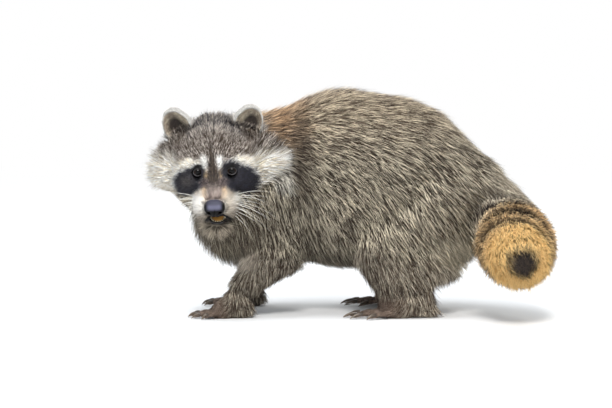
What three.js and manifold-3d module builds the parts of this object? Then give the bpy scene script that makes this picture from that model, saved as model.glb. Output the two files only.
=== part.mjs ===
// A life-size standing raccoon, looking to its left. Millimetres, +Z up, paws on the floor.
// The trunk runs along X with the chest towards -X, and the face looks towards -Y.
// Every solid follows the outline of the coat. A field of a few rounded masses gives that outline,
// and rings of points are pushed out from a line inside it until they meet the field's surface.
import * as THREE from "three";
import Module from "manifold-3d";
import { mergeVertices } from "three/addons/utils/BufferGeometryUtils.js";

const wasm = await Module();
wasm.setup();
const { degToRad, lerp, clamp } = THREE.MathUtils;

// ---- Driving dimensions ----
const BACK_HEIGHT = 300; // floor to the top of the arched back
const BELLY_HEIGHT = 57;
const TRUNK_HALF_WIDTH = 100;
const EYE_POINT = [-176.5, -122, 193.5]; // midway between the eyes
const HEAD_PITCH = degToRad(26); // nose down
const HEAD_ROLL = degToRad(2.6); // left eye up
const EYE_SPACING = 44;
const EYE_RADIUS = 7.8;
const CHEEK_REACH = { left: 98, right: 88 }; // middle of the head to the tips of the ruff
const EAR = { height: 30, width: 20, depth: 12, wall: 4 };
const TAIL_RADII = [49, 49, 50, 49, 39, 18]; // along the tail from its root
const BLEND = 18; // how far a leg or the tail swells out over the trunk
const GAP = 0.3; // between neighbouring solids

const point = (x, y, z) => new THREE.Vector3(x, y, z);
const points = (list) => list.map((p) => point(...p));
const UP = point(0, 0, 1);
const DOWN = point(0, 0, -1);

// ---- Fields: negative inside, 0 on the surface, about the distance in mm elsewhere ----

// A rounded mass from one point to another, with a radius at each end. shape stretches it along
// X, Y and Z, which are those of toLocal's frame where one is given.
function mass(from, to, fromRadius, toRadius, shape = [1, 1, 1], toLocal = null) {
  const start = point(...from);
  const along = point(...to).sub(start);
  const lengthSquared = Math.max(along.lengthSq(), 1e-9);
  const stretch = point(...shape);
  const offset = new THREE.Vector3();
  return (p) => {
    offset.copy(p);
    if (toLocal) offset.applyMatrix4(toLocal);
    offset.sub(start);
    const t = clamp(offset.dot(along) / lengthSquared, 0, 1);
    const radius = lerp(fromRadius, toRadius, t);
    const share = offset.addScaledVector(along, -t).divide(stretch).length() / radius;
    const slope = offset.divide(stretch).length() / (radius * radius);
    return slope < 1e-6 ? -radius : (share * (share - 1)) / slope;
  };
}

// The smaller of two values, with the crease between them rounded over a width.
function softMin(a, b, width) {
  const overlap = Math.max(width - Math.abs(a - b), 0) / width;
  return Math.min(a, b) - (overlap * overlap * width) / 4;
}

const union = (width, ...fields) => (p) =>
  fields.slice(1).reduce((nearest, field) => softMin(nearest, field(p), width), fields[0](p));
const grown = (field, by) => (p) => field(p) - by;

// A chain of masses through points, with a radius at each.
const chain = (line, radii, width) =>
  union(width, ...line.slice(1).map((to, i) => mass(line[i], to, radii[i], radii[i + 1])));

// ---- Solids ----

function solidOf(geometry) {
  const bare = geometry.clone();
  for (const name of ["normal", "uv"]) bare.deleteAttribute(name);
  const merged = mergeVertices(bare, 1e-3);
  return new wasm.Manifold(
    new wasm.Mesh({
      numProp: 3,
      vertProperties: new Float32Array(merged.attributes.position.array),
      triVerts: new Uint32Array(merged.index.array),
    }),
  );
}

function geometryOf(solid) {
  const mesh = solid.getMesh();
  const geometry = new THREE.BufferGeometry();
  geometry.setAttribute("position", new THREE.BufferAttribute(mesh.vertProperties, 3));
  geometry.setIndex(new THREE.BufferAttribute(mesh.triVerts, 1));
  geometry.computeVertexNormals();
  return geometry;
}

const less = (solid, cutters) => cutters.reduce((rest, cutter) => rest.subtract(cutter), solid);
const largest = (solid) =>
  solid.decompose().reduce((best, piece) => (piece.volume() > best.volume() ? piece : best));

// All that lies past a plane, moved on along its normal by a distance.
const ROOM = 1200;
function beyond(at, normal, by = 0) {
  const box = new THREE.BoxGeometry(ROOM, ROOM, ROOM);
  box.translate(0, 0, ROOM / 2 + by);
  box.applyQuaternion(
    new THREE.Quaternion().setFromUnitVectors(UP, normal.clone().normalize()),
  );
  box.translate(at.x, at.y, at.z);
  return solidOf(box);
}

// How far a ray from inside a field goes before it leaves it.
function reachOf(field, origin, direction, limit) {
  const at = new THREE.Vector3();
  let distance = 0;
  for (let step = 0; step < 60 && distance < limit; step++) {
    const depth = -field(at.copy(origin).addScaledVector(direction, distance));
    if (depth < 0.02) break;
    distance += Math.max(depth * 0.8, 0.02);
  }
  return Math.min(distance, limit);
}

// A closed solid round a line of points: rings of points pushed out to the field's surface, and at
// each end a rounded cap made by rays that fan out from the end of the line. It is made larger all
// round by a distance.
function loft({ line, field, rings, sides, caps = 3, limit = 400, upright = UP }, by) {
  const curve = new THREE.CatmullRomCurve3(points(line));
  const surface = grown(field, by);
  const positions = [];
  const cast = (t, direction) => {
    const hit = curve.getPoint(t);
    hit.addScaledVector(direction, reachOf(surface, hit, direction, limit + by));
    positions.push(hit.x, hit.y, hit.z);
  };
  // Each station is where its rays start and how far they lean from the line.
  const stations = [
    ...Array.from({ length: caps - 1 }, (_, i) => ({ t: 0, lean: Math.PI * (1 - (i + 1) / caps / 2) })),
    ...Array.from({ length: rings }, (_, i) => ({ t: i / (rings - 1), lean: Math.PI / 2 })),
    ...Array.from({ length: caps - 1 }, (_, i) => ({ t: 1, lean: (Math.PI * (1 - (i + 1) / caps)) / 2 })),
  ];
  cast(0, curve.getTangent(0).negate());
  for (const { t, lean } of stations) {
    const forward = curve.getTangent(t);
    const across = upright.clone().cross(forward).normalize();
    const over = forward.clone().cross(across);
    for (let side = 0; side < sides; side++) {
      const turn = (side / sides) * 2 * Math.PI;
      const outward = across.clone().multiplyScalar(Math.cos(turn));
      outward.addScaledVector(over, Math.sin(turn)).multiplyScalar(Math.sin(lean));
      cast(t, outward.addScaledVector(forward, Math.cos(lean)));
    }
  }
  cast(1, curve.getTangent(1));

  const indices = [];
  const last = positions.length / 3 - 1;
  const end = last - sides;
  for (let side = 0; side < sides; side++) {
    const next = (side + 1) % sides;
    indices.push(0, 1 + next, 1 + side);
    indices.push(last, end + side, end + next);
    for (let ring = 1; ring < end; ring += sides) {
      const [a, b] = [ring, ring + sides];
      indices.push(a + side, a + next, b + side, a + next, b + next, b + side);
    }
  }
  const geometry = new THREE.BufferGeometry();
  geometry.setAttribute("position", new THREE.Float32BufferAttribute(positions, 3));
  geometry.setIndex(indices);
  return solidOf(geometry);
}

// ---- Materials ----

const finish = (name, colour, roughness) =>
  Object.assign(new THREE.MeshStandardMaterial({ color: colour, roughness, metalness: 0 }), { name });
const BODY_COAT = finish("body_coat", 0x7d7062, 0.95);
const HEAD_COAT = finish("head_coat", 0xa89f92, 0.95);
const EAR_COAT = finish("ear_coat", 0xc9c4b8, 0.95);
const LEG_COAT = finish("leg_coat", 0x6b5d50, 0.95);
const TAIL_COAT = finish("tail_coat", 0xb98c52, 0.95);
const TAIL_TIP_COAT = finish("tail_tip_coat", 0x2b2422, 0.95);
const PAW_SKIN = finish("paw_skin", 0x5a4a40, 0.8);
const NOSE_SKIN = finish("nose_skin", 0x17161a, 0.35);
const MOUTH_SKIN = finish("mouth_skin", 0xb98a58, 0.5);
const EYE_GLOSS = finish("eye_gloss", 0x120b07, 0.08);

// ---- The raccoon: each solid gives way, by the gap, to those placed before it ----

const raccoon = new THREE.Group();
const placed = [];
const withGap = (make) => make(GAP).add(make(0)); // facets of the two can cross, so it takes both

// make gives the solid, grown beyond its own size by the distance it is handed. room gives, in the
// same way, the space it has to itself out of what it grows from, and leaveRooms keeps out of those.
function place(name, make, material, { room = make, leaveRooms = false } = {}) {
  const cutters = placed.map((earlier) => (leaveRooms ? earlier.room : earlier.solid));
  const mesh = new THREE.Mesh(geometryOf(largest(less(make(0), cutters))), material);
  mesh.name = name;
  raccoon.add(mesh);
  const solid = withGap(make);
  placed.push({ solid, room: room === make ? solid : withGap(room) });
}
const lofted = (shape) => (by) => loft(shape, by);

// ---- Trunk and neck: the torso that the other masses grow from ----

const TRUNK_RADIUS = (BACK_HEIGHT - BELLY_HEIGHT) / 2;
const MIDDLE = (BACK_HEIGHT + BELLY_HEIGHT) / 2;
const FLAT = [1, TRUNK_HALF_WIDTH / TRUNK_RADIUS, 1]; // narrower than it is deep
const ribs = mass([-98, -4, MIDDLE - 8], [-10, 0, MIDDLE], 96, TRUNK_RADIUS, FLAT);
const loin = mass([-10, 0, MIDDLE], [58, 0, MIDDLE], TRUNK_RADIUS, 110, FLAT);
const rump = mass([58, 0, MIDDLE], [142, 2, 158], 110, 69, [1, 0.9, 1]);
const brisket = mass([-148, -34, 126], [-100, -10, 130], 46, 64);
const nape = mass([-168, -62, 208], [-100, -6, 182], 52, 84, [1, 0.88, 1]);
const throat = mass([-170, -78, 158], [-135, -28, 140], 40, 58);
const torsoField = union(20, union(5, ribs, loin, rump), brisket, nape, throat);

// ---- Tail: three lengths, the last of them the dark tip ----

const TAIL_LINE = [
  [172, 2, 141], [200, -24, 120], [210, -74, 107], [213, -118, 99], [216, -162, 90], [219, -186, 83],
];
const TAIL_LENGTHS = { tail_tip: 0.86, tail_middle: 0.42, tail_root: 0.02 }; // where each starts
const TAIL_COATS = { tail_tip: TAIL_TIP_COAT, tail_middle: TAIL_COAT, tail_root: BODY_COAT };
const tailCurve = new THREE.CatmullRomCurve3(points(TAIL_LINE));
const tailField = chain(TAIL_LINE, TAIL_RADII, 10);
const bodyField = union(BLEND, tailField, torsoField);

// A loft along the tail, kept from a share of its length on to the tip.
const tailFrom = (share, field, limit, by) =>
  loft({ line: TAIL_LINE, field, rings: 8, sides: 13, limit }, by).subtract(
    beyond(tailCurve.getPoint(share), tailCurve.getTangent(share).negate(), by),
  );

const TRUNK = {
  line: [[-100, -8, 160], [-20, 0, 172], [60, 0, 174], [146, 2, 150]],
  field: torsoField,
  rings: 10,
  sides: 20,
};
const NECK = {
  line: [[-160, -50, 182], [-118, -12, 166]],
  field: torsoField,
  rings: 5,
  sides: 16,
};
const NECK_ROOT = point(-120, -12, 180);
const NECK_DIRECTION = point(-0.8, -0.4, 0.25);
const TO_TRUNK = NECK_DIRECTION.clone().negate();

// ---- Head, in its own frame: forward, left and up from midway between the eyes ----

const headFrame = new THREE.Matrix4()
  .makeTranslation(...EYE_POINT)
  .multiply(new THREE.Matrix4().makeRotationX(HEAD_PITCH))
  .multiply(new THREE.Matrix4().makeRotationY(-HEAD_ROLL))
  .multiply(new THREE.Matrix4().makeBasis(point(0, -1, 0), point(1, 0, 0), point(0, 0, 1)));
const toHead = headFrame.clone().invert();
const onHead = (forward, left, up) => point(forward, left, up).applyMatrix4(headFrame);
const headLine = (...list) => list.map((p) => onHead(...p).toArray());
const headMass = (from, to, r0, r1, shape) => mass(from, to, r0, r1, shape, toHead);
const headUp = onHead(0, 0, 1).sub(onHead(0, 0, 0));
const HEAD_SIDES = { left: 1, right: -1 }; // along the head's own left
const bothSides = (make) => Object.entries(HEAD_SIDES).map(([side, s]) => make(s, side));

const cranium = headMass([-52, 0, 6], [-38, 0, 6], 46, 43, [1, 1.12, 1]);
const forehead = headMass([-30, 0, 12], [-12, 0, 0], 30, 17, [1, 1.3, 1]);
const bridge = headMass([-8, 0, -3], [44, 0, -19], 14, 8.5, [1, 1.15, 1]);
const upperLip = headMass([0, 0, -24], [38, 0, -28], 21, 13, [1, 1.2, 1]);
const jowl = headMass([-42, 0, -32], [-14, 0, -36], 36, 22, [1, 1.35, 1]);
const whiskerPads = bothSides((s) => headMass([18, 13 * s, -27], [36, 10 * s, -28], 15, 11));
const cheeks = bothSides((s) => headMass([-24, 32 * s, -14], [-16, 26 * s, -18], 25, 19));
const brows = bothSides((s) => headMass([-16, 14 * s, 8], [-26, 34 * s, 8], 14, 16));
const ruffs = bothSides((s, side) =>
  headMass([-30, 32 * s, -18], [-44, (CHEEK_REACH[side] - 30) * s, -20], 42, 30, [0.7, 1, 1.1]),
);
const ruffTops = bothSides((s, side) =>
  headMass([-40, 36 * s, 8], [-46, (CHEEK_REACH[side] - 36) * s, -2], 30, 26, [0.8, 1, 1]),
);
const HEAD = {
  line: headLine([-58, 0, 0], [-30, 0, -6], [0, 0, -16], [36, 0, -24]),
  field: union(
    12, cranium, forehead, bridge, upperLip, jowl,
    ...whiskerPads, ...cheeks, ...brows, ...ruffs, ...ruffTops,
  ),
  rings: 12,
  sides: 22,
  upright: headUp,
};

function headBall([forward, left, up], radius, across, down) {
  const ball = new THREE.SphereGeometry(radius, across, down);
  ball.translate(...onHead(forward, left, up));
  return solidOf(ball);
}
const eyeball = (s, by) => headBall([-5.5, (EYE_SPACING / 2) * s, 0], EYE_RADIUS + by, 10, 6);
const socketed = (make) => (by) =>
  less(make(by), bothSides((s) => headBall([7.5, (EYE_SPACING / 2 + 1.5) * s, 0], 10.5, 10, 6)));

const NOSE = {
  line: headLine([46, 0, -21], [54, 0, -21]),
  field: union(
    4,
    headMass([52, 0, -20], [52, 0, -20], 10, 10, [0.85, 1.32, 0.85]),
    headMass([51, 0, -26], [50, 0, -31], 6, 4, [0.8, 1.1, 1]),
  ),
  rings: 3,
  sides: 10,
  caps: 2,
  upright: headUp,
};
const pierced = (make) => (by) =>
  less(make(by), bothSides((s) => headBall([60, 5.6 * s, -21], 2.6, 6, 4)));

// The lower jaw hangs a little open, with the teeth and tongue showing over it.
const JAW = {
  line: headLine([-16, 0, -49], [8, 0, -54], [30, 0, -58]),
  field: union(
    8,
    headMass([-22, 0, -48], [26, 0, -59], 23, 12, [1, 1.15, 0.85]),
    headMass([26, 0, -59], [35, 0, -57], 12, 8, [1, 1.15, 0.8]),
  ),
  rings: 4,
  sides: 10,
  caps: 2,
  upright: headUp,
};
const MOUTH = {
  line: headLine([8, 0, -46.5], [30, 0, -47]),
  field: headMass([8, 0, -46.5], [32, 0, -47], 10, 7.5, [1, 1.1, 0.75]),
  rings: 2,
  sides: 10,
  caps: 2,
  upright: headUp,
};

// ---- Ears: deep cups, open to the front ----

const LEAN_OUT = 0.34;
const FACE_OUT = 0.25;
function placeEar(side, s) {
  const cup = (height, width, depth, forward, sides) => {
    const shell = new THREE.SphereGeometry(1, sides, 6);
    shell.rotateX(Math.PI / 2); // poles at the tip and the root
    shell.scale(depth, width, height);
    shell.translate(forward, 0, 0);
    shell.rotateX(-LEAN_OUT * s);
    shell.rotateZ(FACE_OUT * s);
    shell.translate(-52, 46.5 * s, 39);
    shell.applyMatrix4(headFrame);
    return solidOf(shell);
  };
  const { height, width, depth, wall } = EAR;
  place(
    "ear_" + side,
    (by) =>
      cup(height + by, width + by, depth + by, 0, 12).subtract(
        cup(height - wall, width - wall, depth, 8, 10),
      ),
    EAR_COAT,
  );
}

// ---- Legs: two segments and a paw, parted by planes at the joints ----

const FINGERS = 5;
const KNUCKLES = 0.52; // share of the paw's length

// root is the floor under the wrist or hock. length runs from there to the longest fingertip,
// heel behind it, and heading turns the paw.
function pawShape({ root, length, width, heel, heading, instep, finger }) {
  const frame = new THREE.Matrix4()
    .makeTranslation(root[0], root[1], 0)
    .multiply(new THREE.Matrix4().makeRotationZ(Math.PI + heading)); // forward is -X
  const at = (forward, side, up) => point(forward, side, up).applyMatrix4(frame).toArray();
  const knuckles = length * KNUCKLES;
  const pad = (from, to, r0, r1) => mass(at(...from), at(...to), r0, r1);
  const palm = union(
    8,
    pad([0, 0, instep], [knuckles * 0.7, 0, 12], 15, 11),
    pad([knuckles * 0.5, -width * 0.2, 9], [knuckles, -width * 0.27, 8], 11, 8),
    pad([knuckles * 0.5, width * 0.2, 9], [knuckles, width * 0.27, 8], 11, 8),
    pad([-heel, 0, 11], [knuckles * 0.6, 0, 9], 12, 12),
  );
  const line = [at(-heel, 0, 11), at(knuckles * 0.4, 0, 11), at(knuckles * 0.9, 0, 9)];
  const fingers = Array.from({ length: FINGERS }, (_, i) => {
    const spread = (i / (FINGERS - 1) - 0.5) * 2; // -1 to 1 across the paw
    const bend = spread * 0.4;
    const span = (length - knuckles) * (1 - 0.28 * spread * spread);
    const knuckle = [knuckles * (0.98 - 0.2 * spread * spread), spread * width * 0.4];
    const along = (share, up) =>
      at(knuckle[0] + Math.cos(bend) * span * share, knuckle[1] + Math.sin(bend) * span * share, up);
    return { along, finger };
  });
  return { palm, line, fingers };
}

// A finger that bends down to the floor and ends in its claw.
const fingerShape = ({ along, finger }) => ({
  line: [along(-0.2, 8), along(0.5, 8), along(0.86, 5), along(1, 4.6), along(1.28, 2)],
  field: union(
    1.5,
    chain([along(-0.35, 8), along(0.5, 8), along(0.88, 4.6)], [finger * 1.1, finger, finger * 0.85], 2),
    mass(along(0.9, 5), along(1.3, 1.7), 2.4, 0.9, [1, 0.8, 1]),
  ),
  rings: 4,
  sides: 5,
  caps: 1,
});

const MIDLINE = 14; // kept clear between left and right
function placeLeg(side, names, { top, middle, bottom, upper, lower, paw, fringe }) {
  const [upperName, lowerName, pawName] = names.map((name) => name + "_" + side);
  const upperMass = union(10, mass(top, middle, ...upper.radii, upper.shape), mass(...fringe));
  const lowerMass = mass(middle, bottom, ...lower.radii, lower.shape);
  const { palm, line, fingers } = pawShape(paw);
  const limb = union(12, upperMass, lowerMass, palm);
  const [topPoint, joint, ankle] = points([top, middle, bottom]);
  const lowerDirection = ankle.clone().sub(joint).normalize();
  const jointNormal = joint.clone().sub(topPoint).normalize().add(lowerDirection);
  const ankleNormal = lowerDirection.clone().add(DOWN);
  const across = point(0, 1, 0);
  const lowerShape = {
    line: [middle, bottom],
    field: limb,
    rings: 4,
    sides: 11,
    caps: 2,
    limit: lower.limit,
    upright: across,
  };
  const upperShape = {
    line: [top, middle],
    field: union(BLEND, limb, torsoField),
    rings: 4,
    sides: 14,
    limit: upper.limit,
    upright: across,
  };

  place(
    pawName,
    (by) =>
      fingers
        .reduce(
          (whole, finger) => whole.add(loft(fingerShape(finger), by)),
          loft({ line, field: limb, rings: 4, sides: 9, caps: 2, limit: 40 }, by),
        )
        .subtract(beyond(ankle, ankleNormal.clone().negate(), by))
        .subtract(beyond(point(0, 0, 0), DOWN)),
    PAW_SKIN,
  );
  place(
    lowerName,
    (by) =>
      loft(lowerShape, by)
        .subtract(beyond(joint, jointNormal.clone().negate(), by))
        .subtract(beyond(ankle, ankleNormal, by)),
    LEG_COAT,
  );

  const inward = point(0, -Math.sign(top[1]), 0);
  const roomRadii = [upper.radii[0] + BLEND, upper.radii[1] + BLEND / 3];
  const roomShape = {
    line: [top, middle],
    field: union(10, mass(top, middle, ...roomRadii, upper.shape), mass(...fringe)),
    rings: 2,
    sides: 10,
    caps: 2,
    upright: across,
  };
  const room = (by) =>
    loft(roomShape, by)
      .subtract(beyond(point(0, Math.sign(top[1]) * MIDLINE, 0), inward, by))
      .subtract(beyond(joint, jointNormal, by));
  place(upperName, (by) => loft(upperShape, by).intersect(room(by)), BODY_COAT, { room });
}

const FORE = ["upper_arm", "forearm", "fore_paw"];
const FORE_SHAPE = {
  upper: { radii: [47, 33], shape: [1, 0.74, 1], limit: 110 },
  lower: { radii: [31, 20], shape: [1, 0.88, 1], limit: 50 },
};
const FORE_PAW = { length: 55, width: 38, heel: 14, instep: 24, finger: 4.8 };
const HIND = ["thigh", "shank", "hind_paw"];
const HIND_SHAPE = {
  upper: { radii: [68, 46], shape: [1, 0.62, 1], limit: 140 },
  lower: { radii: [42, 36], shape: [1, 0.66, 1], limit: 90 },
};
const HIND_PAW = { length: 86, width: 40, heel: 18, instep: 24, finger: 5 };

// ---- The whole raccoon ----

for (const [name, share] of Object.entries(TAIL_LENGTHS)) {
  const room = (by) => tailFrom(share, grown(tailField, BLEND), 90, by);
  const field = name === "tail_root" ? bodyField : tailField;
  const make = (by) => tailFrom(share, field, 75, by).intersect(room(by));
  place(name, make, TAIL_COATS[name], { room });
}

placeLeg("left", FORE, {
  ...FORE_SHAPE,
  top: [-104, -46, 150],
  middle: [-94, -62, 86],
  bottom: [-144, -72, 38],
  fringe: [[-90, -48, 110], [-82, -58, 84], 34, 24],
  paw: { ...FORE_PAW, root: [-150, -73], heading: 0.05 },
});
placeLeg("right", FORE, {
  ...FORE_SHAPE,
  top: [-106, 46, 150],
  middle: [-98, 58, 88],
  bottom: [-132, 62, 38],
  fringe: [[-92, 46, 110], [-86, 54, 86], 34, 24],
  paw: { ...FORE_PAW, root: [-136, 62], heading: -0.05 },
});
placeLeg("left", HIND, {
  ...HIND_SHAPE,
  top: [106, -48, 140],
  middle: [44, -64, 92],
  bottom: [66, -68, 38],
  fringe: [[136, -42, 116], [106, -58, 66], 42, 33],
  paw: { ...HIND_PAW, root: [88, -68], heading: 0.1 },
});
placeLeg("right", HIND, {
  ...HIND_SHAPE,
  top: [104, 48, 140],
  middle: [50, 62, 92],
  bottom: [66, 66, 38],
  fringe: [[132, 42, 116], [104, 56, 68], 42, 32],
  paw: { ...HIND_PAW, root: [86, 66], heading: -0.1 },
});

const leaveRooms = true;
const trunk = (by) => lofted(TRUNK)(by).subtract(beyond(NECK_ROOT, NECK_DIRECTION, -GAP));
const neck = (by) => lofted(NECK)(by).subtract(beyond(NECK_ROOT, TO_TRUNK));
place("trunk", trunk, BODY_COAT, { leaveRooms });
place("neck", neck, BODY_COAT, { leaveRooms });
place("nose", pierced(lofted(NOSE)), NOSE_SKIN);
for (const [side, s] of Object.entries(HEAD_SIDES))
  place("eye_" + side, (by) => eyeball(s, by), EYE_GLOSS);
place("head", socketed(lofted(HEAD)), HEAD_COAT);
for (const [side, s] of Object.entries(HEAD_SIDES)) placeEar(side, s);
place("mouth", lofted(MOUTH), MOUTH_SKIN);
place("jaw", lofted(JAW), HEAD_COAT);

// The origin is on the floor, under the middle of the bounding box.
const bounds = new THREE.Box3().setFromObject(raccoon);
const middle = bounds.getCenter(new THREE.Vector3());
for (const mesh of raccoon.children) mesh.geometry.translate(-middle.x, -middle.y, -bounds.min.z);

export default raccoon;
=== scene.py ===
"""A life-size standing raccoon: one skin, a coat of solid tufts, eyes, nose, mouth, claws and
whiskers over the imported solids. Metres in Blender; lengths named below are in millimetres."""

import math

import bmesh
import bpy
import numpy as np
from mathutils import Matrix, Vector
from mathutils.bvhtree import BVHTree
from mathutils.kdtree import KDTree


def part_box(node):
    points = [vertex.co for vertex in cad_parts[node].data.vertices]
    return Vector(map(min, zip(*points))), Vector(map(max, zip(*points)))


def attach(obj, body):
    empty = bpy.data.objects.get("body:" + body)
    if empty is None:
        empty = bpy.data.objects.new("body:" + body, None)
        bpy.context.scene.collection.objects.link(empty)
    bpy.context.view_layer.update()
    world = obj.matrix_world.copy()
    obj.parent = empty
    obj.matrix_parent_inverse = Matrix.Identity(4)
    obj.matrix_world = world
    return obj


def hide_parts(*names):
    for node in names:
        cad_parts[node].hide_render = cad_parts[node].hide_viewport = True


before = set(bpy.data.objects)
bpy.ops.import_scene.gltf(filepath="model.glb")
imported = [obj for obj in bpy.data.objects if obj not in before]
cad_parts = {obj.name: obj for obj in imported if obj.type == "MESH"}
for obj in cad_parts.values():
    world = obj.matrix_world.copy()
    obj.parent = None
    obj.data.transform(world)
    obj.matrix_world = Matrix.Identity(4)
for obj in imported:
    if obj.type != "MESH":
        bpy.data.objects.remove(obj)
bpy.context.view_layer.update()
rng = np.random.default_rng(11)
MM = 0.001

# ---- Driving values ----
VOXEL = 1.6  # of the skin's first mesh
SKIN_TRIANGLES = 185_000
TUFTS = 305_000
UNDERCOAT = 0.45  # share of the long tufts that are plain thorns
GUARD = 0.08  # share of the long tufts that stand out over the others, long and thin
GUARD_END = -115  # along Y, where they stop short of the tail's tip
GUARD_LONGER, GUARD_THINNER = 1.32, 0.6  # times the others' length and width
COAT_PIECES = 8
SHORT = 12.5  # tufts shorter than this are plain thorns, and the others have a belly and a bend
UV_PATCH = 0.003  # width of a tuft's patch on the skin's unwrap

# For each region: how deep the coat stands over the skin, the tufts' length and width, how densely
# they stand beside the other regions' tufts, and how far they lean out from the skin in degrees.
REGIONS = {
    "trunk": (10, 25, 0.92, 0.9, 32),
    "neck": (9.5, 26, 1.1, 0.9, 36),
    "upper_arm": (9, 25, 0.95, 0.9, 31),
    "forearm": (5, 15, 0.95, 1.3, 30),
    "fore_paw": (1.3, 5, 0.7, 1.6, 14),
    "thigh": (11, 31, 1.0, 0.9, 31),
    "shank": (7, 24, 0.95, 1.1, 28),
    "hind_paw": (1.6, 6, 0.8, 1.5, 16),
    "tail_root": (10, 26, 1.1, 1.0, 34),
    "tail_middle": (11.5, 30, 1.0, 1.4, 42),
    "tail_tip": (12.5, 22, 0.85, 2.2, 48),
    "head": (6, 12, 1.0, 2.0, 26),
    "jaw": (2.2, 5.5, 0.6, 2.6, 24),
    "ear": (1.3, 3.0, 0.42, 5.0, 11),
}
NAMES = list(REGIONS)
COAT = np.array(list(zip(*REGIONS.values())), float)  # a row each for depth, length and so on
SIDES = {"left": 1, "right": -1}  # along the head's own left


# ---- Small helpers ----
def unit(vectors):
    return vectors / np.maximum(np.linalg.norm(vectors, axis=-1, keepdims=True), 1e-12)


def norms(vectors):
    return np.linalg.norm(vectors, axis=1)


def ease(x, low, high):
    """0 below low, 1 above high, and smooth between."""
    t = np.clip((x - low) / (high - low), 0, 1)
    return t * t * (3 - 2 * t)


def fall(x, low, high):
    """1 below low, 0 above high, and smooth between."""
    return 1 - ease(x, low, high)


def bump(x, middle, width):
    return np.exp(-(((x - middle) / width) ** 2))


def linear(colour):
    """Linear values of a colour written as it looks."""
    c = np.asarray(colour, float)
    return np.where(c <= 0.04045, c / 12.92, ((c + 0.055) / 1.055) ** 2.4)


def blend(a, b, share):
    share = np.asarray(share)[..., None]
    return a * (1 - share) + b * share


def over(colour, *layers):
    """A colour with others laid over it in turn, each by its share."""
    for layer, share in layers:
        colour = blend(colour, layer, share)
    return colour


def read(items, name, width, kind=np.float32):
    values = np.empty(len(items) * width, kind)
    items.foreach_get(name, values)
    return values.reshape(-1, width)


def share_in(weights, *regions):
    """How much of each point lies in the named regions together."""
    return weights[:, [NAMES.index(region) for region in regions]].sum(axis=1)


def wander(points, scale, seed):
    """Smooth noise from -1 to 1 over places in millimetres, as a sum of waves."""
    waves = np.random.default_rng(seed)
    total = np.zeros(len(points))
    for _ in range(10):
        direction = unit(waves.normal(size=3)) * (2 * math.pi / scale) * waves.uniform(0.6, 1.7)
        total += np.sin(points @ direction + waves.uniform(0, 2 * math.pi))
    return total / 4.5


def placed(name, data):
    """A new object in the scene."""
    made = bpy.data.objects.new(name, data)
    bpy.context.scene.collection.objects.link(made)
    return made


def object_of(name, points, faces, material, smooth=True):
    """A mesh object from points in millimetres and faces of one size."""
    mesh = bpy.data.meshes.new(name)
    mesh.from_pydata(np.asarray(points, np.float32) * MM, [], faces, shade_flat=not smooth)
    mesh.materials.append(material)
    return placed(name, mesh)


def paint(made, colours):
    """One linear colour for each vertex."""
    layer = made.data.attributes.new("tint", "FLOAT_COLOR", "POINT")
    rgba = np.ones((len(colours), 4), np.float32)
    rgba[:, :3] = colours
    layer.data.foreach_set("color", rgba.ravel())


# ---- The head's own frame, from the eyes and the nose ----
def centre(node):
    low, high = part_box(node)
    return np.array((low + high) / 2) / MM


NOSE_BELOW_EYES = math.radians(19.6)
eye_centres = {side: centre(f"eye_{side}") for side in SIDES}
eye_low, eye_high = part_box("eye_left")
EYE = max(eye_high - eye_low) / 2 / MM  # the eyeball's radius
head_origin = (eye_centres["left"] + eye_centres["right"]) / 2
head_left = unit(eye_centres["left"] - eye_centres["right"])
to_nose = centre("nose") - head_origin
to_nose = unit(to_nose - head_left * (to_nose @ head_left))
over_nose = np.cross(to_nose, head_left)
head_forward = to_nose * math.cos(NOSE_BELOW_EYES) + over_nose * math.sin(NOSE_BELOW_EYES)
head_up = np.cross(head_forward, head_left)
HEAD_AXES = np.array([head_forward, head_left, head_up])  # rows


def on_head(points):
    """Forward, left and up from midway between the eyeballs, in millimetres."""
    return (points - head_origin) @ HEAD_AXES.T


def from_head(places):
    return np.asarray(places, float) @ HEAD_AXES + head_origin


nose_place = on_head(centre("nose")[None])[0]
eye_places = {side: on_head(place[None])[0] for side, place in eye_centres.items()}
NOSE_ROOM = np.array([8.6, 13.3, 9.8])  # half sizes of the room that hair leaves free
MOUTH_ROOM = (3.4, -62.4, 12.6, 5.4)  # middle and half sizes in the face's plane: left, height
MOUTH_BACK = 22  # how far forward of the eyes that room begins
MOUTH_ASKEW = 2.2  # the open jaw hangs a little to the left
FACE_TILT = math.radians(31)  # the face's own slope: brow, bridge and nose as one plane


def face_height(places):
    """Height up the slope of the face, from the eyes."""
    return places[:, 2] * math.cos(FACE_TILT) - places[:, 0] * math.sin(FACE_TILT)


def off_nose(places):
    """Below 1 in the room that hair leaves free round the nose."""
    return norms((places - nose_place) / NOSE_ROOM)


def off_mouth(places):
    """0 in the middle of the open mouth as the face shows it, and 1 at its edge."""
    left, height, half_width, half_height = MOUTH_ROOM
    return np.hypot((places[:, 1] - left) / half_width, (face_height(places) - height) / half_height)


# ---- The tail's line, as in the solids ----
TAIL_LINE = np.array(
    [
        (171, 52, 141), (199, 26, 120), (209, -24, 107), (212, -68, 99), (215, -112, 90), (218, -136, 83),
    ],
    float,
)
TAIL_STEPS = norms(np.diff(TAIL_LINE, axis=0))
TAIL_STARTS = np.concatenate([[0], np.cumsum(TAIL_STEPS)])
TAIL_WAYS = np.diff(TAIL_LINE, axis=0) / TAIL_STEPS[:, None]


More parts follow.
